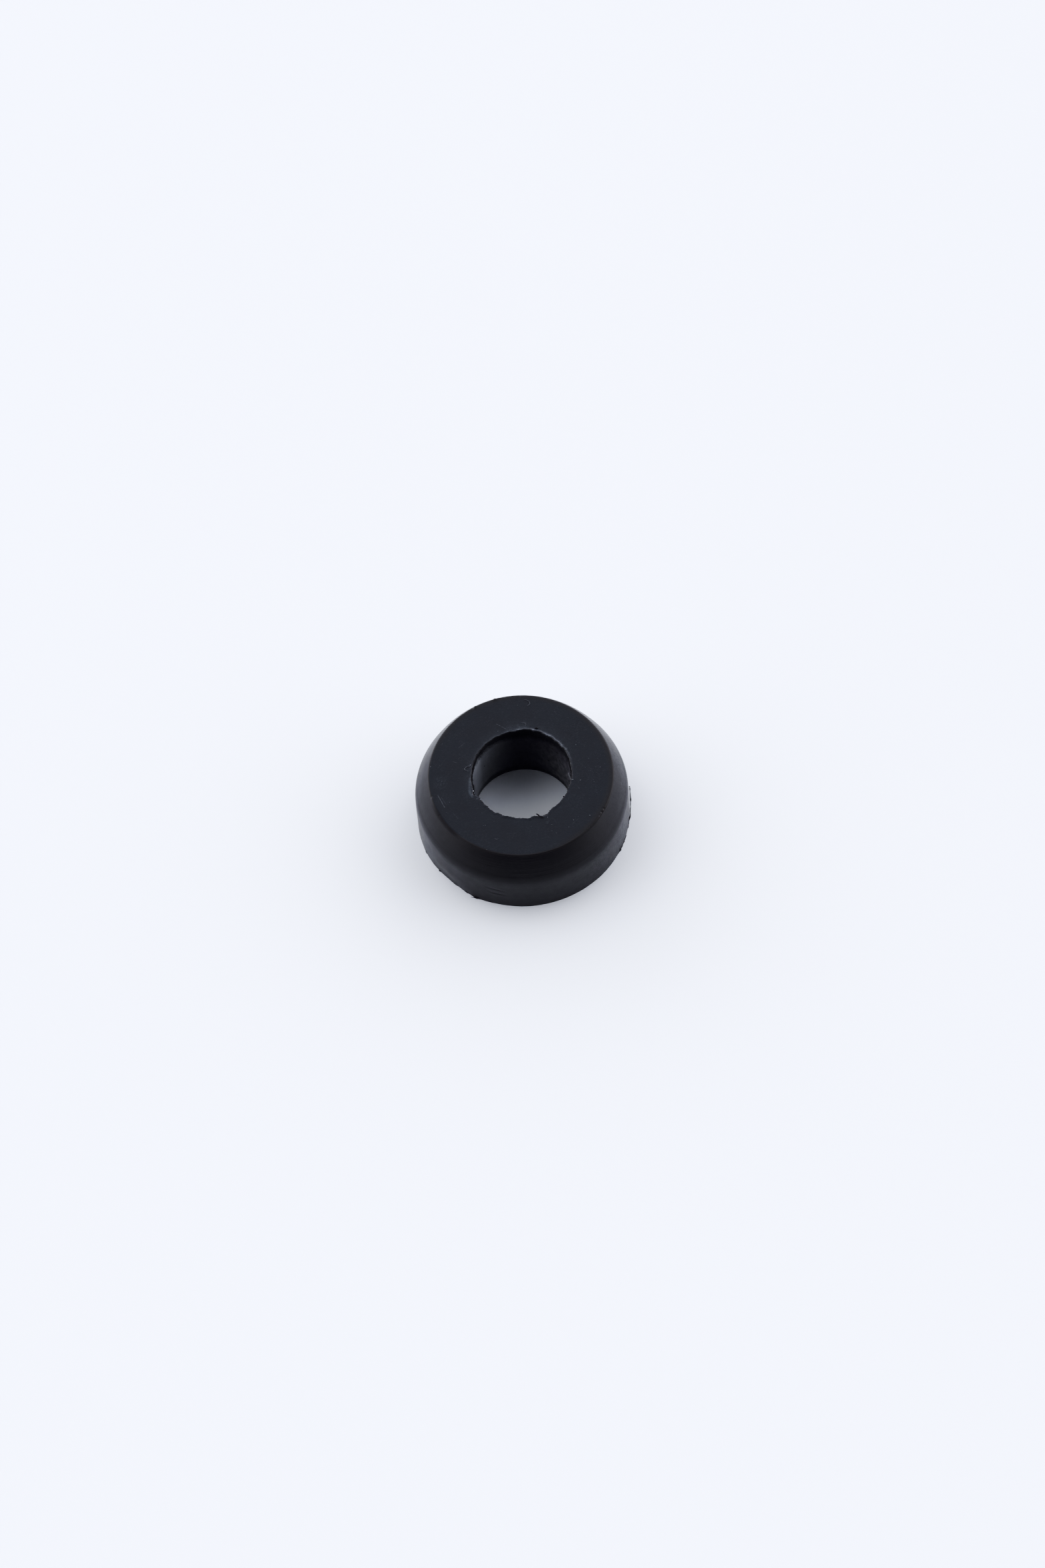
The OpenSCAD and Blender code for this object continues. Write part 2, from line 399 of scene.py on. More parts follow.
def body_mesh():
    pos = np.zeros((NP, NT, 3))
    masks = {z: np.zeros((NP, NT)) for z in ZONES}
    path = np.zeros((NP, NT))
    prev = None
    for j, (r, z, c, zones) in enumerate(rows):
        pos[j, :, 0] = c * CX + r * COS
        pos[j, :, 1] = c * CY + r * SIN
        pos[j, :, 2] = z
        if prev is not None:
            path[j] = path[j - 1] + np.hypot(r - prev[0], z - prev[1]).mean()
        prev = (r, z)
        for name, v in zones.items():
            masks[name][j] = v
    n = NP * NT
    idx = np.arange(n).reshape(NP, NT)
    a, b = idx, np.roll(idx, -1, axis=1)
    c_, d = np.roll(b, -1, axis=0), np.roll(a, -1, axis=0)
    quads = np.stack([a, b, c_, d], axis=-1).reshape(-1, 4)
    me = bpy.data.meshes.new("grommet_rubber")
    me.vertices.add(n)
    me.vertices.foreach_set("co", (pos.reshape(-1, 3) * MM).astype(np.float32).ravel())
    me.loops.add(quads.size)
    me.loops.foreach_set("vertex_index", quads.ravel().astype(np.int32))
    me.polygons.add(len(quads))
    me.polygons.foreach_set("loop_start", np.arange(0, quads.size, 4, dtype=np.int32))
    me.update(calc_edges=True)
    me.validate()
    me.polygons.foreach_set("use_smooth", np.ones(len(me.polygons), bool))
    for name, m in masks.items():
        at = me.attributes.new("z_" + name, "FLOAT", "POINT")
        at.data.foreach_set("value", m.ravel().astype(np.float32))
    ring = np.zeros((NP, NT, 3), np.float32)
    ring[..., 0], ring[..., 1], ring[..., 2] = COS, SIN, path
    at = me.attributes.new("ring", "FLOAT_VECTOR", "POINT")
    at.data.foreach_set("vector", ring.ravel())
    # how far down the bore, where 1 is the lower edge of the torn zone
    deep = ((H - pos[..., 2]) / TORN[None, :]).astype(np.float32)
    at = me.attributes.new("deep", "FLOAT", "POINT")
    at.data.foreach_set("value", deep.ravel())
    return me


def add(name, me):
    o = bpy.data.objects.new(name, me)
    bpy.context.scene.collection.objects.link(o)
    return o


body = add("grommet_rubber", body_mesh())


# ---------------------------------------------------------------- thin threads
def tube_mesh(name, points, radii, sides=8, wobble=0.0, seed=0, flat=1.0, steps=6):
    """A closed tube through the points (mm), smoothed, with round ends."""
    p = np.array(points, float)
    q = np.array(radii, float)
    t = np.arange(len(p))
    tt = np.linspace(0, len(p) - 1, (len(p) - 1) * steps + 1)

    def spline(v):
        out = []
        for u in tt:
            i = min(int(u), len(p) - 2)
            f = u - i
            a, b = v[max(i - 1, 0)], v[i]
            c, d = v[i + 1], v[min(i + 2, len(p) - 1)]
            out.append(0.5 * (2 * b + (c - a) * f + (2 * a - 5 * b + 4 * c - d) * f ** 2
                              + (3 * b - a - 3 * c + d) * f ** 3))
        return np.array(out)

    P, Q = spline(p), spline(q)
    Q = Q * (1 + wobble * noise3(tt * 1.7, tt * 0 + 3.3, tt * 0, seed))
    T = np.gradient(P, axis=0)
    T /= np.linalg.norm(T, axis=1)[:, None]
    up = np.array([0, 0, 1.0])
    verts, faces = [], []
    for i in range(len(P)):
        s = np.cross(up, T[i])
        s /= max(np.linalg.norm(s), 1e-9)
        w = np.cross(T[i], s)
        for k in range(sides):
            a = 2 * math.pi * k / sides
            verts.append(P[i] + Q[i] * (math.cos(a) * s + flat * math.sin(a) * w))
    n = len(P)
    for i in range(n - 1):
        for k in range(sides):
            k2 = (k + 1) % sides
            faces.append((i * sides + k, i * sides + k2, (i + 1) * sides + k2, (i + 1) * sides + k))
    verts.append(P[0] - T[0] * Q[0] * 0.6)
    verts.append(P[-1] + T[-1] * Q[-1] * 0.8)
    a0, a1 = len(verts) - 2, len(verts) - 1
    for k in range(sides):
        k2 = (k + 1) % sides
        faces.append((a0, k2, k))
        faces.append((a1, (n - 1) * sides + k, (n - 1) * sides + k2))
    me = bpy.data.meshes.new(name)
    me.from_pydata([tuple(v * MM) for v in verts], [], faces)
    me.update()
    me.polygons.foreach_set("use_smooth", np.ones(len(me.polygons), bool))
    return me


def polar(r, deg, z, cx=0.0, cy=0.0):
    a = math.radians(deg)
    return (cx + r * math.cos(a), cy + r * math.sin(a), z)


threads = []
# the strip of flash that has peeled away from the base edge
strip = [(-17.9, 12.42, .036), (-15.6, 12.46, .040), (-13.5, 12.52, .060), (-11.4, 12.52, .036),
         (-9.3, 12.54, .040), (-7.8, 12.60, .072), (-6.2, 12.64, .046), (-3.5, 12.63, .034),
         (-1.5, 12.67, .040), (1.0, 12.72, .034), (3.0, 12.80, .050), (4.5, 12.83, .036),
         (7.1, 12.88, .032), (9.9, 13.00, .036), (11.3, 13.03, .046)]
threads.append(add("flash_strip", tube_mesh(
    "flash_strip", [polar(r, a, w * 1.6 + 0.012) for a, r, w in strip],
    [w * 1.1 for a, r, w in strip], wobble=0.40, seed=5, flat=1.0)))
threads.append(add("flash_chip", tube_mesh(
    "flash_chip", [polar(12.42, 334.4, .12), polar(12.48, 333.0, .13), polar(12.50, 331.8, .14),
                   polar(12.47, 330.6, .12), polar(12.40, 329.8, .10)],
    [.05, .09, .115, .09, .04], seed=21, wobble=0.2)))
threads.append(add("flash_spike", tube_mesh(
    "flash_spike", [polar(12.36, 242.4, .10), polar(12.50, 241.2, .11), polar(12.58, 240.1, .09),
                    polar(12.62, 239.2, .07), polar(12.67, 238.2, .06), polar(12.73, 237.2, .06)],
    [.08, .10, .085, .040, .032, .018], seed=6)))
threads.append(add("flash_nub", tube_mesh(
    "flash_nub", [polar(12.2, 214.6, .09), polar(12.38, 213.9, .08), polar(12.50, 213.1, .06)],
    [.08, .07, .03], seed=7)))
# bits of the torn rim of the bore
threads.append(add("rim_hook", tube_mesh(
    "rim_hook", [(2.06, -6.02, H - .09), (1.93, -5.93, H - .05), (1.79, -5.78, H - .02),
                 (1.66, -5.61, H + .00), (1.56, -5.54, H + .01), (1.47, -5.50, H + .01)],
    [.100, .105, .095, .082, .070, .050], seed=8)))
threads.append(add("rim_fold", tube_mesh(
    "rim_fold", [(0.74, -5.96, H - .12), (0.96, -5.84, H - .09), (1.20, -5.82, H - .08), (1.46, -5.85, H - .08),
                 (1.74, -5.93, H - .09), (2.00, -6.04, H - .09)],
    [.05, .09, .10, .11, .10, .09], seed=23, wobble=0.25)))
threads.append(add("rim_tear", tube_mesh(
    "rim_tear", [(2.10, 6.05, H + .02), (2.22, 6.09, H + .02), (2.36, 6.07, H + .02),
                 (2.48, 6.00, H + .01)],
    [.035, .070, .070, .035], seed=18)))
threads.append(add("rim_nub", tube_mesh(
    "rim_nub", [polar(6.04, 323.9, H - .08, CX, CY), polar(5.92, 323.3, H - .08, CX, CY),
                polar(5.81, 322.7, H - .07, CX, CY)],
    [.10, .11, .085], seed=9)))
threads.append(add("rim_root", tube_mesh(
    "rim_root", [(1.84, -5.88, H - .09), (2.02, -5.99, H - .06), (2.22, -6.05, H - .06),
                 (2.44, -6.02, H - .07)],
    [.08, .12, .12, .07], seed=19, wobble=0.25)))


def shreds_mesh(name, seed):
    """Slivers of torn rubber, each a small bent spike rooted in the rim of the bore."""
    rng = np.random.RandomState(seed)
    verts, faces = [], []
    n = 0
    while n < 110:
        deg = rng.uniform(0, 360)
        i = int(np.searchsorted(TH, math.radians(deg))) % NT
        r = LIP[i]
        front = 190 < deg < 345
        length = rng.uniform(0.04, 0.13) * (1.0 if front else 1.1)
        width = rng.uniform(0.020, 0.045)
        inward = rng.uniform(0.35, 1.0)
        lean = rng.uniform(-0.9, 0.9)
        rise = rng.uniform(-0.4, 0.5)
        er = np.array([math.cos(math.radians(deg)), math.sin(math.radians(deg)), 0])
        et = np.array([-er[1], er[0], 0])
        ez = np.array([0, 0, 1.0])
        root = np.array([CX, CY, 0]) + er * (r + 0.03) + ez * (H - 0.03)
        d = -er * inward + et * lean + ez * rise
        d /= np.linalg.norm(d)
        side = np.cross(d, ez)
        side /= np.linalg.norm(side)
        up = np.cross(side, d)
        base = len(verts)
        for t, w in ((0.0, 1.0), (0.45, 0.75), (0.8, 0.4)):
            c = root + d * (length + 0.04) * t + et * 0.03 * lean * t * t
            for k in range(5):
                a = 2 * math.pi * k / 5
                verts.append((c + (side * math.cos(a) + up * math.sin(a) * 0.5) * width * w) * MM)
        verts.append((root - d * width * 0.5) * MM)
        verts.append((root + d * (length + 0.04) + et * 0.03 * lean) * MM)
        a0, a1 = len(verts) - 2, len(verts) - 1
        for s in range(2):
            for k in range(5):
                k2 = (k + 1) % 5
                faces.append((base + s * 5 + k, base + s * 5 + k2, base + s * 5 + 5 + k2, base + s * 5 + 5 + k))
        for k in range(5):
            k2 = (k + 1) % 5
            faces.append((a0, base + k2, base + k))
            faces.append((a1, base + 10 + k, base + 10 + k2))
        n += 1
    me = bpy.data.meshes.new(name)
    me.from_pydata([tuple(v) for v in verts], [], faces)
    me.update()
    me.polygons.foreach_set("use_smooth", np.ones(len(me.polygons), bool))
    return me


threads.append(add("rim_shreds", shreds_mesh("rim_shreds", 31)))

# ---------------------------------------------------------------- lint and specks
lint = []
LINT = [
    ("lint_curl", [(-5.72, 1.86), (-5.80, 1.66), (-6.02, 1.66), (-6.30, 1.52), (-6.44, 1.30),
                   (-6.34, 1.10), (-6.10, 0.99), (-5.88, 0.94)], 0.017),
    ("lint_loop", [(-5.75, 1.72), (-5.90, 1.58), (-6.12, 1.55), (-6.34, 1.38)], 0.013),
    ("rim_curl", [(5.58, -0.30), (5.63, -0.62), (5.72, -0.95), (5.80, -1.22), (5.93, -1.34),
                  (6.12, -1.32)], 0.017),
    ("lint_back", [(1.11, 10.10), (1.41, 10.02), (1.68, 9.80), (1.74, 9.46), (1.42, 9.22)], 0.012),
    ("lint_mid", [(0.55, 7.02), (0.95, 6.90), (1.10, 6.68), (0.96, 6.50)], 0.013),
    ("lint_front", [(-3.6, -8.3), (-3.3, -8.45), (-3.05, -8.38)], 0.008),
]
for name, pts, r in LINT:
    lint.append(add(name, tube_mesh(
        name, [(x, y, H + r * 0.9 + 0.03 * math.sin(2.2 * k)**2) for k, (x, y) in enumerate(pts)],
        [r * 0.7] + [r] * (len(pts) - 2) + [r * 0.6], sides=6)))


def specks_mesh(name, spots, seed):
    """Grains of dust: small lumpy pebbles that sit in the surface."""
    rng = np.random.RandomState(seed)
    g = (1 + math.sqrt(5)) / 2
    ico = np.array([(-1, g, 0), (1, g, 0), (-1, -g, 0), (1, -g, 0), (0, -1, g), (0, 1, g),
                    (0, -1, -g), (0, 1, -g), (g, 0, -1), (g, 0, 1), (-g, 0, -1), (-g, 0, 1)], float)
    ico /= np.linalg.norm(ico[0])
    tri = [(0, 11, 5), (0, 5, 1), (0, 1, 7), (0, 7, 10), (0, 10, 11), (1, 5, 9), (5, 11, 4),
           (11, 10, 2), (10, 7, 6), (7, 1, 8), (3, 9, 4), (3, 4, 2), (3, 2, 6), (3, 6, 8),
           (3, 8, 9), (4, 9, 5), (2, 4, 11), (6, 2, 10), (8, 6, 7), (9, 8, 1)]
    verts, faces = [], []
    for x, y, z, r in spots:
        base = len(verts)
        sx, sy, sz = r * rng.uniform(0.7, 1.3), r * rng.uniform(0.7, 1.3), r * rng.uniform(0.4, 0.7)
        a = rng.uniform(0, math.pi)
        for v in ico:
            k = rng.uniform(0.8, 1.15)
            vx, vy = v[0] * sx * k, v[1] * sy * k
            verts.append(((x + vx * math.cos(a) - vy * math.sin(a)) * MM,
                          (y + vx * math.sin(a) + vy * math.cos(a)) * MM,
                          (z + v[2] * sz * k) * MM))
        faces += [tuple(base + i for i in t) for t in tri]
    me = bpy.data.meshes.new(name)
    me.from_pydata(verts, [], faces)
    me.update()
    me.polygons.foreach_set("use_smooth", np.ones(len(me.polygons), bool))
    return me


spots = [(6.73, 3.40, H + .01, .045), (6.91, -1.42, H + .01, .05), (7.64, -6.24, H + .01, .045),
         (3.17, -7.08, H + .01, .05), (-2.24, 6.05, H + .03, .04), (2.75, -6.05, H + .0, .035),
         (6.02, -1.27, H + .01, .05), (-5.24, -2.85, H + .0, .05),
         (8.70, -6.43, H - .0, .045), (8.95, -5.95, H + .0, .035), (7.72, 3.13, H + .0, .022),
         (2.56, -5.97, H + .01, .035)]
rng = np.random.RandomState(4)
for k in range(46):
    a, q = rng.uniform(0, 2 * math.pi), rng.uniform(6.4, 10.5)
    spots.append((q * math.cos(a), q * math.sin(a), H + .002, rng.uniform(.010, .022)))
for k in range(70):
    a, q = rng.normal(math.radians(8), 0.42), rng.uniform(6.5, 10.3)
    spots.append((q * math.cos(a), q * math.sin(a), H + .001, rng.uniform(.009, .018)))
for x, y, r in ((7.50, -7.78, .022), (7.22, -8.02, .018), (-5.87, 1.62, .045),
                (-5.72, 1.74, .035)):
    spots.append((x, y, H + .005, r))
lint.append(add("dust_specks", specks_mesh("dust_specks", spots, 12)))
grains = [add("pale_grains", specks_mesh("pale_grains", [
    (-5.60, -1.78, H + .02, .070), (2.50, -5.92, H + .01, .028)], 14))]


# ---------------------------------------------------------------- materials
def new_material(name):
    m = bpy.data.materials.new(name)
    m.use_nodes = True
    nt = m.node_tree
    nt.nodes.clear()
    out = nt.nodes.new("ShaderNodeOutputMaterial")
    bsdf = nt.nodes.new("ShaderNodeBsdfPrincipled")
    nt.links.new(bsdf.outputs[0], out.inputs[0])
    return m, nt, bsdf


class Nodes:
    """Short forms for the nodes that the materials are made of."""

    def __init__(self, nt):
        self.nt = nt
        self.obj = nt.nodes.new("ShaderNodeTexCoord").outputs["Object"]
        v = nt.nodes.new("ShaderNodeVectorMath")
        v.operation = "SCALE"
        v.inputs["Scale"].default_value = 1000.0
        nt.links.new(self.obj, v.inputs[0])
        self.mm = v.outputs[0]

    def put(self, sock, val):
        if isinstance(val, bpy.types.NodeSocket):
            self.nt.links.new(val, sock)
        else:
            sock.default_value = val

    def attr(self, name, vector=False):
        n = self.nt.nodes.new("ShaderNodeAttribute")
        n.attribute_name = name
        return n.outputs["Vector" if vector else "Fac"]

    def math(self, op, a, b=0.0, c=0.0, clamp=False):
        n = self.nt.nodes.new("ShaderNodeMath")
        n.operation, n.use_clamp = op, clamp
        self.put(n.inputs[0], a)
        self.put(n.inputs[1], b)
        if len(n.inputs) > 2:
            self.put(n.inputs[2], c)
        return n.outputs[0]

    def vmath(self, op, a, b=None, scale=None):
        n = self.nt.nodes.new("ShaderNodeVectorMath")
        n.operation = op
        self.put(n.inputs[0], a)
        if b is not None:
            self.put(n.inputs[1], b)
        if scale is not None:
            self.put(n.inputs["Scale"], scale)
        return n.outputs["Value"] if op in ("LENGTH", "DOT_PRODUCT", "DISTANCE") else n.outputs[0]

    def noise(self, vec, scale, detail=3.0, rough=0.5, distortion=0.0):
        n = self.nt.nodes.new("ShaderNodeTexNoise")
        self.put(n.inputs["Vector"], vec)
        n.inputs["Scale"].default_value = scale
        n.inputs["Detail"].default_value = detail
        n.inputs["Roughness"].default_value = rough
        n.inputs["Distortion"].default_value = distortion
        return n.outputs["Fac"]

    def voronoi(self, vec, scale, feature="F1"):
        n = self.nt.nodes.new("ShaderNodeTexVoronoi")
        n.feature = feature
        self.put(n.inputs["Vector"], vec)
        n.inputs["Scale"].default_value = scale
        return n.outputs["Distance"]

    def ramp(self, val, a, b, lo=0.0, hi=1.0, kind="SMOOTHSTEP"):
        n = self.nt.nodes.new("ShaderNodeMapRange")
        n.interpolation_type = kind
        self.put(n.inputs["Value"], val)
        n.inputs["From Min"].default_value = a
        n.inputs["From Max"].default_value = b
        n.inputs["To Min"].default_value = lo
        n.inputs["To Max"].default_value = hi
        return n.outputs["Result"]

    def mix(self, fac, a, b):
        n = self.nt.nodes.new("ShaderNodeMix")
        n.data_type = "RGBA"
        self.put(n.inputs[0], fac)
        self.put(n.inputs[6], a)
        self.put(n.inputs[7], b)
        return n.outputs[2]

    def mixf(self, fac, a, b):
        n = self.nt.nodes.new("ShaderNodeMix")
        n.data_type = "FLOAT"
        self.put(n.inputs[0], fac)
        self.put(n.inputs[2], a)
        self.put(n.inputs[3], b)
        return n.outputs[0]

    def bump(self, height, distance, strength=1.0, normal=None):
        n = self.nt.nodes.new("ShaderNodeBump")
        n.inputs["Strength"].default_value = strength
        n.inputs["Distance"].default_value = distance
        self.put(n.inputs["Height"], height)
        if normal is not None:
            self.put(n.inputs["Normal"], normal)
        return n.outputs[0]

    def spot(self, at, size):
        """1 at that point (mm, on the surface), falling to 0 at size from it."""
        return self.ramp(self.vmath("DISTANCE", self.mm, tuple(at)), size * 0.35, size, 1.0, 0.0)

    def stroke(self, a, b, width):
        """1 on the line from a to b (mm, on the surface), falling to 0 at width from it."""
        a, b = Vector(a), Vector(b)
        ab = b - a
        d = self.vmath("SUBTRACT", self.mm, tuple(a))
        h = self.math("DIVIDE", self.vmath("DOT_PRODUCT", d, tuple(ab)), ab.length_squared, clamp=True)
        near = self.vmath("SCALE", tuple(ab), scale=h)
        dist = self.vmath("LENGTH", self.vmath("SUBTRACT", d, near))
        return self.ramp(dist, 0.0, width, 1.0, 0.0)


def rubber_material():
    m, nt, bsdf = new_material("black_rubber")
    g = Nodes(nt)
    top, side, cone = g.attr("z_top"), g.attr("z_side"), g.attr("z_cone")
    bore_z, torn, lip, flash = g.attr("z_bore"), g.attr("z_torn"), g.attr("z_lip"), g.attr("z_flash")
    haze = g.attr("z_haze")
    ring = g.attr("ring", vector=True)

    # colour: near-black, a little blue on the cut top face, with cloudy patches
    cloud = g.noise(g.mm, 0.35, 4, 0.55)
    fine = g.noise(g.mm, 2.6, 5, 0.6)
    grain = g.noise(g.mm, 16.0, 3, 0.6)
    col = g.mix(g.ramp(cloud, 0.3, 0.7), (0.0020, 0.0012, 0.0026, 1), (0.0034, 0.0022, 0.0038, 1))
    col_top = g.mix(g.ramp(cloud, 0.35, 0.65), (0.0000, 0.0012, 0.0050, 1), (0.0002, 0.0020, 0.0062, 1))
    col_top = g.mix(g.ramp(fine, 0.45, 0.75, 0, 0.5), col_top, (0.0016, 0.0038, 0.0085, 1))
    col = g.mix(top, col, col_top)
    # the bore: near-black at the back; its left and right walls are painted paler where they are seen at a low angle,
    # a painted reflection, and the right is mottled
    split = g.nt.nodes.new("ShaderNodeSeparateXYZ")
    g.put(split.inputs[0], ring)
    cos_t, sin_t = split.outputs["X"], split.outputs["Y"]
    place = g.nt.nodes.new("ShaderNodeSeparateXYZ")
    g.put(place.inputs[0], g.mm)
    high = place.outputs["Z"]
    mottle = g.noise(g.vmath("MULTIPLY", ring, (15.0, 15.0, 1.9)), 1.0, 6, 0.68)
    # left wall: painted paler towards the left, a painted reflection of the bright surroundings seen at a low angle
    left = g.math("MULTIPLY", g.ramp(cos_t, 0.0, -0.92),
                  g.ramp(g.noise(g.vmath("MULTIPLY", ring, (3.2, 3.2, 0.22)), 1.0, 4, 0.55), 0.25, 0.75, 0.78, 1.08))
    blotch = g.noise(g.vmath("MULTIPLY", ring, (10.0, 10.0, 1.05)), 1.0, 3, 0.55)
    blotch = g.math("ADD", g.math("MULTIPLY", blotch, 0.85), g.math("MULTIPLY", mottle, 0.15))
    # right wall: a mottle, painted paler towards the right as a painted reflection, and darker towards the top
    right = g.math("MULTIPLY", g.ramp(cos_t, 0.08, 0.90), g.ramp(blotch, 0.40, 0.60, 0.42, 1.05))
    right = g.math("MULTIPLY", right, g.ramp(high, 3.4, 6.8, 1.0, 0.30))
    # painted shade along the foot of the bore wall where it meets the floor, widest at the back of the bore
    foot_shade = g.math("ADD", high, g.math("MULTIPLY", g.math("MAXIMUM", cos_t, 0.0), 0.45))
    foot_shade = g.math("ADD", foot_shade, g.math("MULTIPLY", g.math("MAXIMUM", g.math("SUBTRACT", -0.60, cos_t), 0.0), 1.1))
    foot_shade = g.ramp(g.math("ADD", foot_shade, g.math("MULTIPLY", g.math("SUBTRACT", mottle, 0.5), 0.5)), 0.78, 1.50, 1, 0)
    col_bore = g.mix(g.ramp(mottle, 0.42, 0.66), (0.0130, 0.0112, 0.0185, 1), (0.0225, 0.0200, 0.0280, 1))
    fleck = g.ramp(g.noise(g.mm, 3.6, 4, 0.62), 0.34, 0.64, 0.82, 1.08)
    col_bore = g.mix(g.math("MULTIPLY", left, fleck), col_bore, (0.172, 0.180, 0.198, 1))
    # a paler upright strip on the left wall: a painted highlight
    bore_highlight = g.math("MULTIPLY", g.ramp(cos_t, -0.76, -0.84), g.ramp(cos_t, -0.955, -0.90))
    col_bore = g.mix(g.math("MULTIPLY", bore_highlight, 0.5), col_bore, (0.270, 0.283, 0.308, 1))
    col_bore = g.mix(right, col_bore, (0.132, 0.130, 0.142, 1))
    col_bore = g.mix(g.math("MULTIPLY", foot_shade, 0.90), col_bore, (0.0018, 0.0014, 0.0030, 1))
    # pits in the wall, painted darker: painted shade in them
    holes = None
    for at, size in (((-4.14, 4.18, 4.67), .16), ((3.44, 4.99, 3.43), .22), ((4.50, 4.07, 6.61), .20),
                     ((4.75, 3.77, 5.30), .16), ((3.99, 4.56, 6.77), .20), ((4.3, 4.3, 2.6), .14)):
        h = g.spot(at, size)
        holes = h if holes is None else g.math("MAXIMUM", holes, h)
    col_bore = g.mix(holes, col_bore, (0.0030, 0.0028, 0.0050, 1))
    col = g.mix(bore_z, col, col_bore)
    # painted shade: the zone under the rim of the bore and the groove on the left are painted near-black, standing
    # for the shade under the overhanging lip
    edge_noise = g.noise(g.mm, 3.2, 5, 0.7)
    ragged = g.math("ADD", g.attr("deep"), g.math("MULTIPLY", g.math("SUBTRACT", edge_noise, 0.5), 0.55))
    torn_shade = g.math("MULTIPLY", g.ramp(ragged, 0.74, 1.24, 1, 0), torn)
    torn_shade = g.math("MAXIMUM", torn_shade, g.attr("z_groove"))
    col = g.mix(g.math("MULTIPLY", torn_shade, 0.95), col, (0.0016, 0.0014, 0.0030, 1))

    # dusty bloom on the cut rubber round the bore, palest on the ridge of its rim
    bloom = g.math("MULTIPLY", haze, g.ramp(g.noise(g.mm, 2.4, 6, 0.68), 0.34, 0.66, 0.25, 1.0))
    dust = g.ramp(g.noise(g.mm, 7.5, 3, 0.65), 0.56, 0.70)
    bloom = g.math("MULTIPLY", bloom, g.math("MULTIPLY_ADD", dust, 1.7, 0.5))
    col = g.mix(bloom, col, (0.036, 0.042, 0.051, 1))
    # faint grey smudges on the top face, thickest in one scuffed patch on the left
    smudge_and_highlight = g.math("MULTIPLY", g.ramp(g.noise(g.mm, 4.6, 4, 0.68), 0.50, 0.68),
                    g.ramp(g.noise(g.mm, 0.62, 3, 0.5), 0.42, 0.62, 0.15, 1.0))
    patch = g.math("MAXIMUM", g.spot((-9.35, -0.25, H), 1.25), g.math("MULTIPLY", g.spot((-8.9, -2.6, H), 1.3), 0.6))
    patch = g.math("MAXIMUM", patch, g.math("MULTIPLY", g.spot((2.66, -6.72, H), 0.22), 1.6))
    patch = g.math("MULTIPLY", patch, g.ramp(g.noise(g.mm, 5.2, 4, 0.7), 0.46, 0.62))
    smudge_and_highlight = g.math("MULTIPLY", g.math("ADD", g.math("MULTIPLY", smudge_and_highlight, 0.10), g.math("MULTIPLY", patch, 0.15)), top)
    # a pale arc along the raised ridge on the left of the bore: a painted highlight, joined to the smudges
    ridge_highlight = None
    bow = ((182, 6.00), (187, 6.12), (192, 6.29), (196, 6.41), (200, 6.50), (203.6, 6.44))
    for (a0, r0), (a1, r1) in zip(bow, bow[1:]):
        e = g.stroke(polar(r0, a0, H, CX, CY), polar(r1, a1, H, CX, CY), 0.27)
        ridge_highlight = e if ridge_highlight is None else g.math("MAXIMUM", ridge_highlight, e)
    ridge_highlight = g.math("MULTIPLY", g.math("MULTIPLY", ridge_highlight, g.ramp(g.noise(g.mm, 3.0, 3, 0.6), 0.35, 0.6, 0.5, 1.0)), top)
    smudge_and_highlight = g.math("MAXIMUM", smudge_and_highlight, g.math("MULTIPLY", ridge_highlight, 0.56))
    col = g.mix(smudge_and_highlight, col, (0.045, 0.052, 0.062, 1))
    # the outer rim of the top face is a shade browner on the right and at the back
    flat = g.vmath("MULTIPLY", g.mm, (1.0, 1.0, 0.0))
    rim_in = g.ramp(g.vmath("LENGTH", flat), 10.0, 10.7)
    brown = g.math("MULTIPLY", rim_in, g.ramp(g.math("MAXIMUM", cos_t, sin_t), 0.1, 0.7))
    brown = g.math("MULTIPLY", brown, g.math("MAXIMUM", top, g.attr("z_edge")))
    col = g.mix(g.math("MULTIPLY", brown, 0.55), col, (0.0052, 0.0034, 0.0036, 1))
    # the pale rim round the bore: partly pale dust, partly a painted highlight along its raised ridge
    pale = g.math("MULTIPLY", lip, g.ramp(g.noise(g.mm, 5.2, 5, 0.70), 0.37, 0.61, 0.12, 1.40))
    col = g.mix(pale, col, (0.085, 0.094, 0.112, 1))
    col = g.mix(g.math("MULTIPLY", flash, 0.6), col, (0.0040, 0.0022, 0.0032, 1))

    # small pale specks in the surface
    speck = g.ramp(g.voronoi(g.mm, 1.15), 0.035, 0.06, 1, 0)
    speck = g.math("MULTIPLY", speck, g.ramp(g.noise(g.mm, 0.55, 2), 0.48, 0.6))
    speck = g.math("MULTIPLY", speck, g.math("ADD", g.math("MULTIPLY", top, 0.52), 0.20))
    col = g.mix(speck, col, (0.11, 0.115, 0.125, 1))

    # fine scratches across the top face
    marks = None
    for a, b, w, k in (
            ((-2.33, 7.07), (-1.30, 6.30), .050, .40), ((-9.75, -1.96), (-9.07, -3.64), .055, .45),
            ((-9.35, -2.3), (-8.85, -3.35), .035, .25), ((-7.0, 4.2), (-6.3, 4.75), .035, .22),
            ((4.4, 8.2), (5.3, 7.5), .030, .10), ((7.9, 0.6), (8.5, -0.6), .030, .10),
            ((1.2, -8.9), (2.6, -8.7), .030, .08),
            ((-8.2, -4.4), (-7.6, -5.3), .030, .18), ((-7.75, 2.42), (-7.25, 2.20), .040, .22), ((-3.0, 8.9), (-2.1, 8.6), .030, .08),
            ((5.6, -7.1), (6.4, -6.5), .030, .16)):
        s = g.math("MULTIPLY", g.stroke((*a, H), (*b, H), w), k)
        marks = s if marks is None else g.math("MAXIMUM", marks, s)
    marks = g.math("MULTIPLY", marks, g.ramp(g.noise(g.mm, 5.0, 2), 0.3, 0.6))
    marks = g.math("MULTIPLY", marks, top)
    col = g.mix(marks, col, (0.10, 0.105, 0.115, 1))
    nt.links.new(col, bsdf.inputs["Base Color"])

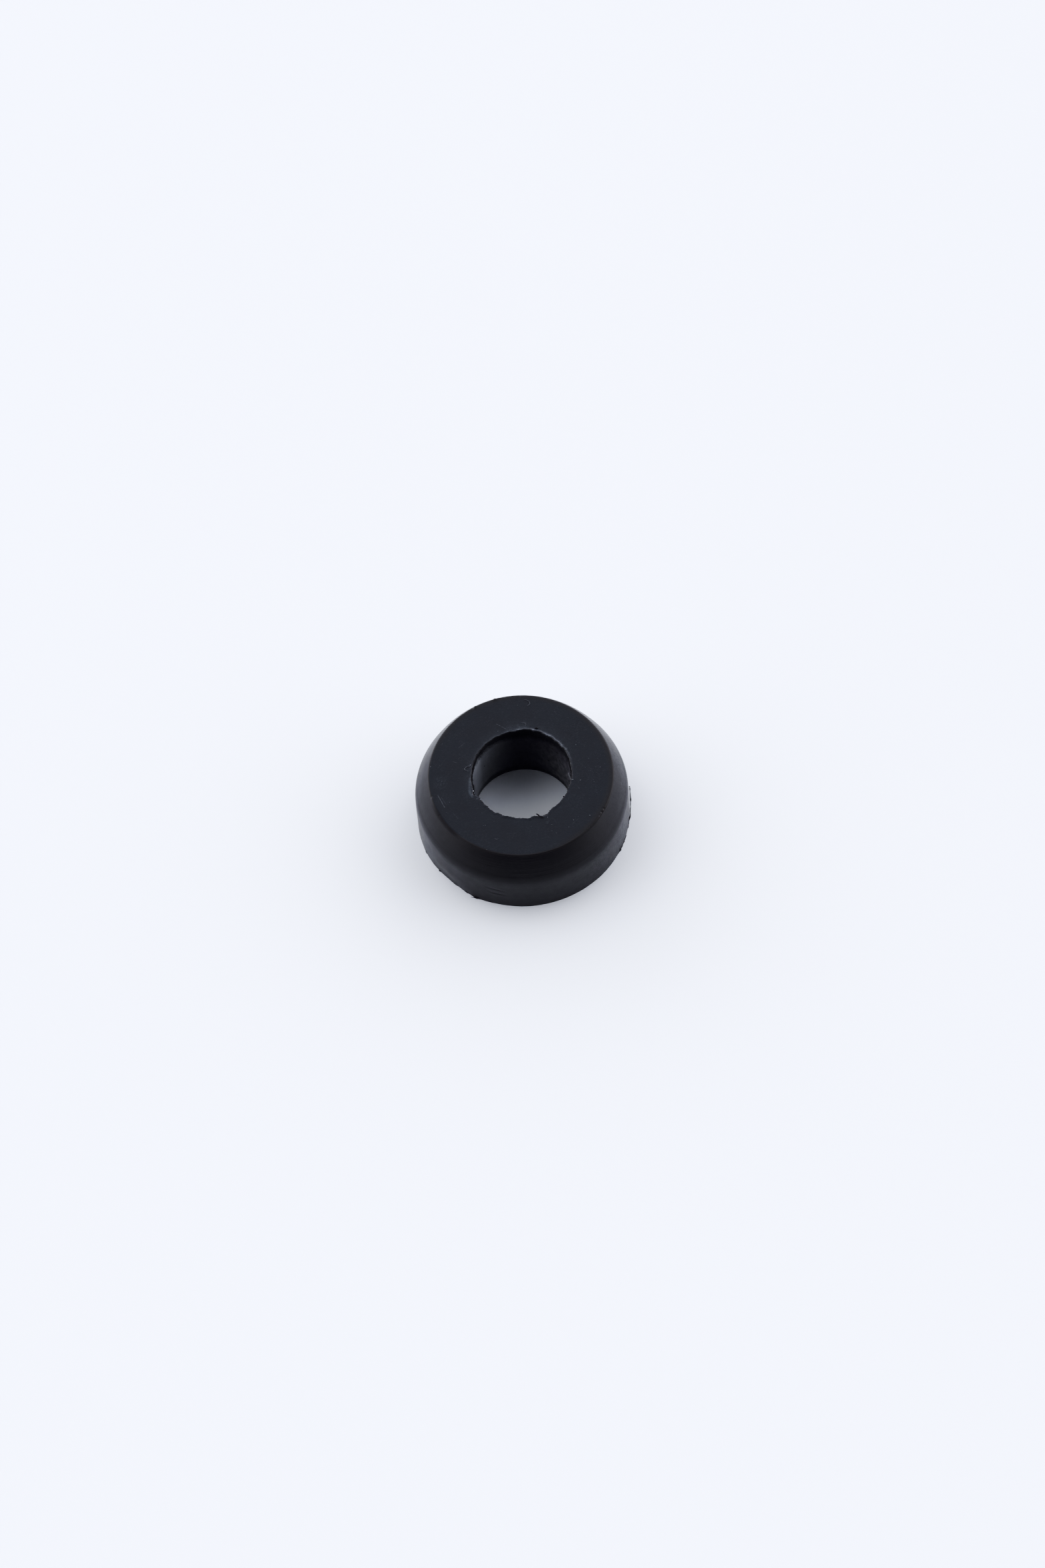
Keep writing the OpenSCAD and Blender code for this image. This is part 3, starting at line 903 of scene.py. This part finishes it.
    # gloss: matte cut face, smoother moulded sides, dull torn rubber
    r = g.ramp(g.noise(g.mm, 0.9, 4, 0.6), 0.3, 0.7, 0.43, 0.48)
    r = g.math("MULTIPLY", r, g.ramp(sin_t, 0.1, 0.7, 1.0, 0.80))
    r = g.math("MULTIPLY", r, g.ramp(sin_t, -0.3, -0.8, 1.0, 1.04))
    grit = g.ramp(g.noise(g.mm, 3.4, 5, 0.72), 0.40, 0.66, -0.035, 0.045)
    r = g.math("ADD", r, g.math("MULTIPLY", grit, g.ramp(cos_t, 0.2, 0.7, 0.35, 1.0)))
    r = g.mixf(top, r, g.ramp(fine, 0.3, 0.7, 0.52, 0.62))
    wall_r = g.mixf(left, g.ramp(blotch, 0.36, 0.66, 0.56, 0.45), 0.30)
    r = g.mixf(bore_z, r, wall_r)
    r = g.mixf(torn_shade, r, 0.96)
    r = g.mixf(lip, r, 0.45)
    # the top edge is rubbed dull on the left of the front
    rubbed = g.math("MULTIPLY", g.ramp(g.vmath("LENGTH", flat), 10.47, 10.63), g.ramp(high, 8.70, 9.05))
    rubbed = g.math("MULTIPLY", rubbed, g.ramp(g.vmath("DOT_PRODUCT", ring, (-0.857, -0.515, 0.0)),
                                               0.950, 0.995, 0.06, 0.60))
    rubbed = g.math("MAXIMUM", rubbed, g.math("MULTIPLY", g.ramp(cos_t, 0.70, 0.95, 0.0, 0.14),
                                              g.ramp(high, 8.85, 9.10)))
    rubbed = g.math("MULTIPLY", rubbed, g.math("SUBTRACT", 1.0, bore_z, clamp=True))
    rubbed = g.math("MULTIPLY", rubbed, g.ramp(g.vmath("LENGTH", flat), 10.47, 10.63))
    r = g.mixf(rubbed, r, 0.95)
    nt.links.new(r, bsdf.inputs["Roughness"])
    bsdf.inputs["IOR"].default_value = 1.33
    bsdf.inputs["Specular IOR Level"].default_value = 0.5
    # a trace of bloom, which shows where the rubber is seen at a low angle
    bsdf.inputs["Sheen Weight"].default_value = 0.10
    bsdf.inputs["Sheen Roughness"].default_value = 0.35
    bsdf.inputs["Sheen Tint"].default_value = (0.93, 0.95, 1.0, 1)

    # relief: skin grain, tool rings on the taper, scuffed cut face, torn bore
    rings_v = g.vmath("MULTIPLY", ring, (1.4, 1.4, 5.0))
    rings = g.noise(rings_v, 1.0, 4, 0.7)
    where = g.math("MULTIPLY", g.ramp(g.noise(g.vmath("MULTIPLY", ring, (1.2, 1.2, 0.25)), 1.0, 2),
                                      0.42, 0.62), cone)
    where = g.math("MULTIPLY", where, g.ramp(sin_t, -0.2, -0.9, 0.15, 1.0))
    n1 = g.bump(g.math("MULTIPLY", rings, where), 0.000052, 1.0)
    skin = g.math("MULTIPLY", g.noise(g.mm, 6.5, 4, 0.65), g.math("SUBTRACT", side, top, clamp=True))
    n2 = g.bump(g.math("MULTIPLY_ADD", skin, 3.0, grain), 0.0000035, 1.0, n1)
    scuff = g.math("MULTIPLY", g.noise(g.mm, 5.5, 5, 0.7), top)
    n3 = g.bump(scuff, 0.000018, 1.0, n2)
    uneven = g.math("MAXIMUM", g.math("MULTIPLY", bore_z, g.ramp(cos_t, -0.6, 0.3, 0.12, 1.0)), torn_shade)
    pits = g.math("MULTIPLY", g.noise(g.mm, 3.0, 4, 0.60), g.math("MULTIPLY", uneven, 0.20))
    dents = None
    for at, size in (((10.43, 4.75, 7.91), .20), ((11.63, -1.27, 7.45), .22), ((11.07, 1.21, 8.55), .13),
                     ((11.37, 0.19, 8.09), .12), ((11.9, -3.0, 6.5), .10)):
        h = g.spot(at, size)
        dents = h if dents is None else g.math("MAXIMUM", dents, h)
    pits = g.math("SUBTRACT", pits, g.math("MULTIPLY", g.math("MAXIMUM", dents, holes), 0.16))
    n4 = g.bump(pits, 0.00006, 1.0, n3)
    n5 = g.bump(marks, 0.000012, 1.0, n4)
    lean = g.math("MULTIPLY", g.math("SUBTRACT", side, top, clamp=True), g.ramp(sin_t, -0.30, -0.80))
    lean = g.math("MULTIPLY", lean, g.ramp(high, 4.2, 5.8, 0.0, 0.150))
    n6 = g.vmath("NORMALIZE", g.vmath("ADD", n5, g.vmath("SCALE", (0.0, 0.0, 1.0), scale=lean)))
    nt.links.new(n6, bsdf.inputs["Normal"])
    return m


def thread_material():
    m, nt, bsdf = new_material("rubber_flash")
    g = Nodes(nt)
    c = g.noise(g.mm, 3.0, 4, 0.6)
    col = g.mix(g.ramp(c, 0.35, 0.65), (0.0030, 0.0022, 0.0034, 1), (0.0065, 0.0050, 0.0064, 1))
    nt.links.new(col, bsdf.inputs["Base Color"])
    nt.links.new(g.ramp(c, 0.3, 0.7, 0.60, 0.75), bsdf.inputs["Roughness"])
    bsdf.inputs["IOR"].default_value = 1.33
    bsdf.inputs["Specular IOR Level"].default_value = 0.3
    nt.links.new(g.bump(g.noise(g.mm, 14, 3, 0.6), 0.000006), bsdf.inputs["Normal"])
    return m


def lint_material():
    m, nt, bsdf = new_material("grey_lint")
    g = Nodes(nt)
    c = g.noise(g.mm, 4.0, 3, 0.6)
    nt.links.new(g.mix(g.ramp(c, 0.35, 0.65), (0.06, 0.065, 0.075, 1), (0.14, 0.145, 0.155, 1)),
                 bsdf.inputs["Base Color"])
    nt.links.new(g.ramp(c, 0.3, 0.7, 0.7, 0.85), bsdf.inputs["Roughness"])
    bsdf.inputs["Specular IOR Level"].default_value = 0.3
    nt.links.new(g.bump(g.noise(g.mm, 20, 2, 0.6), 0.000005), bsdf.inputs["Normal"])
    return m


def grain_material():
    m, nt, bsdf = new_material("pale_grain")
    g = Nodes(nt)
    c = g.noise(g.mm, 9.0, 3, 0.6)
    nt.links.new(g.mix(g.ramp(c, 0.35, 0.65), (0.17, 0.18, 0.19, 1), (0.32, 0.33, 0.35, 1)),
                 bsdf.inputs["Base Color"])
    nt.links.new(g.ramp(c, 0.3, 0.7, 0.6, 0.8), bsdf.inputs["Roughness"])
    nt.links.new(g.bump(g.noise(g.mm, 24, 2, 0.6), 0.000006), bsdf.inputs["Normal"])
    return m


rubber = rubber_material()
thread = thread_material()
fluff = lint_material()
body.data.materials.append(rubber)
for o in threads:
    o.data.materials.append(thread)
for o in lint:
    o.data.materials.append(fluff)
grit = grain_material()
for o in grains:
    o.data.materials.append(grit)

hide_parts("grommet")
for o in [body] + threads + lint + grains:
    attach(o, "root")

# ---------------------------------------------------------------- floor
fm, fnt, fb = new_material("pale_floor")
fg = Nodes(fnt)
fcol = fg.mix(fg.ramp(fg.noise(fg.mm, 0.004, 2, 0.5), 0.3, 0.7), (0.775, 0.800, 0.850, 1), (0.785, 0.810, 0.860, 1))
fnt.links.new(fcol, fb.inputs["Base Color"])
fb.inputs["Roughness"].default_value = 0.85
fb.inputs["Specular IOR Level"].default_value = 0.2
fme = bpy.data.meshes.new("floor")
seg = 96
ringv = [(4.0 * math.cos(2 * math.pi * k / seg), 4.0 * math.sin(2 * math.pi * k / seg), 0.0) for k in range(seg)]
fme.from_pydata(ringv, [], [tuple(range(seg))])
fme.update()
floor = add("floor", fme)
fme.materials.append(fm)

# ---------------------------------------------------------------- light
world = bpy.data.worlds.new("studio")
bpy.context.scene.world = world
world.use_nodes = True
wn = world.node_tree
wn.nodes.clear()
wout = wn.nodes.new("ShaderNodeOutputWorld")
bg = wn.nodes.new("ShaderNodeBackground")
wn.links.new(bg.outputs[0], wout.inputs[0])
tc = wn.nodes.new("ShaderNodeTexCoord")
sep = wn.nodes.new("ShaderNodeSeparateXYZ")
wn.links.new(tc.outputs["Generated"], sep.inputs[0])


def wmath(op, a, b=0.0, clamp=False):
    n = wn.nodes.new("ShaderNodeMath")
    n.operation, n.use_clamp = op, clamp
    for sock, v in ((n.inputs[0], a), (n.inputs[1], b)):
        if isinstance(v, float):
            sock.default_value = v
        else:
            wn.links.new(v, sock)
    return n.outputs[0]


# A soft tent of light: bright to the sides and behind, dim over the front where
# the camera stands. Each belt of the sky has its strength every 45 degrees, from
# the front, by the left and the back, round to the front again.
TENT = 1.912
BELTS = ((8.0, (0.0, 0.0, 1.53, 2.92, 2.14, 1.95, 2.07, 0.0)),
         (36.0, (0.0, 0.02, 1.50, 0.81, 0.30, 1.21, 1.25, 0.10)),
         (64.0, (0.0, 0.12, 0.07, 0.17, 0.0, 0.84, 0.10, 0.0)),
         (92.0, (0.120,) * 8))
azim = wmath("ADD", wmath("DIVIDE", wmath("ARCTAN2", sep.outputs["X"], sep.outputs["Y"]),
                          2 * math.pi), 0.5)
elev = wmath("ARCSINE", sep.outputs["Z"])
sky = None
for at, levels in BELTS:
    ramp = wn.nodes.new("ShaderNodeValToRGB")
    ramp.color_ramp.interpolation = "LINEAR"
    wn.links.new(azim, ramp.inputs[0])
    top_level = max(levels)
    stops = ramp.color_ramp.elements
    stops[0].position, stops[1].position = 0.0, 1.0
    for k in range(9):
        e = stops[0] if k == 0 else stops[len(stops) - 1] if k == 8 else stops.new(k / 8.0)
        v = levels[k % 8] / top_level
        e.color = (v, v, v, 1)
    belt = wmath("SUBTRACT", 1.0, wmath("DIVIDE", wmath("ABSOLUTE", wmath(
        "SUBTRACT", elev, math.radians(at))), math.radians(28.0)), clamp=True)
    part = wmath("MULTIPLY", belt, wmath("MULTIPLY", ramp.outputs[0], TENT * top_level))
    sky = part if sky is None else wmath("ADD", sky, part)
bg.inputs["Color"].default_value = (0.950, 0.965, 1.028, 1)
wn.links.new(sky, bg.inputs["Strength"])


def area(name, loc, target, size, size_y, power, color=(1, 1, 1)):
    d = bpy.data.lights.new(name, "AREA")
    d.shape = "RECTANGLE"
    d.size, d.size_y = size, size_y
    d.energy = power
    d.color = color
    o = bpy.data.objects.new(name, d)
    o.location = loc
    o.rotation_mode = "QUATERNION"
    o.rotation_quaternion = (Vector(target) - Vector(loc)).to_track_quat("-Z", "Y")
    bpy.context.scene.collection.objects.link(o)
    return o


area("key", (-0.318, 0.318, 0.78), (0, 0, 0), 0.5, 0.5, 0.84, (0.97, 0.985, 1.0))

# ---------------------------------------------------------------- camera
EL, ROLL = math.radians(59.574), math.radians(4.507)
cam_data = bpy.data.cameras.new("camera")
cam_data.sensor_width = 36.0
cam_data.lens = 99.49
cam_data.clip_start, cam_data.clip_end = 0.01, 50.0
cam = bpy.data.objects.new("camera", cam_data)
bpy.context.scene.collection.objects.link(cam)
back = Vector((0, -math.cos(EL), math.sin(EL)))
cam.location = Vector((0.000157, 0.004064, 0)) + back * 0.51436
cam.rotation_mode = "QUATERNION"
cam.rotation_quaternion = (-back).to_track_quat("-Z", "Y") @ Quaternion((0, 0, 1), -ROLL)
bpy.context.scene.camera = cam

# a camera's own response: deep blacks and a soft shoulder in the whites
view = bpy.context.scene.view_settings
view.view_transform = "Standard"
view.look = "None"
view.use_curve_mapping = True
curve = view.curve_mapping.curves[3]
curve.points[0].location = (0.0, 0.0)
curve.points[1].location = (1.0, 0.985)
for x, y in ((0.009, 0.0052), (0.025, 0.0179), (0.062, 0.0704), (0.137, 0.2216),
             (0.275, 0.431), (0.554, 0.711)):
    curve.points.new(x, y)
# blacks keep a touch of blue
blue = view.curve_mapping.curves[2]
blue.points[0].location = (0.0, 0.0009)
blue.points[1].location = (1.0, 1.0)
blue.points.new(0.004, 0.0052)
blue.points.new(0.03, 0.0303)
view.curve_mapping.update()
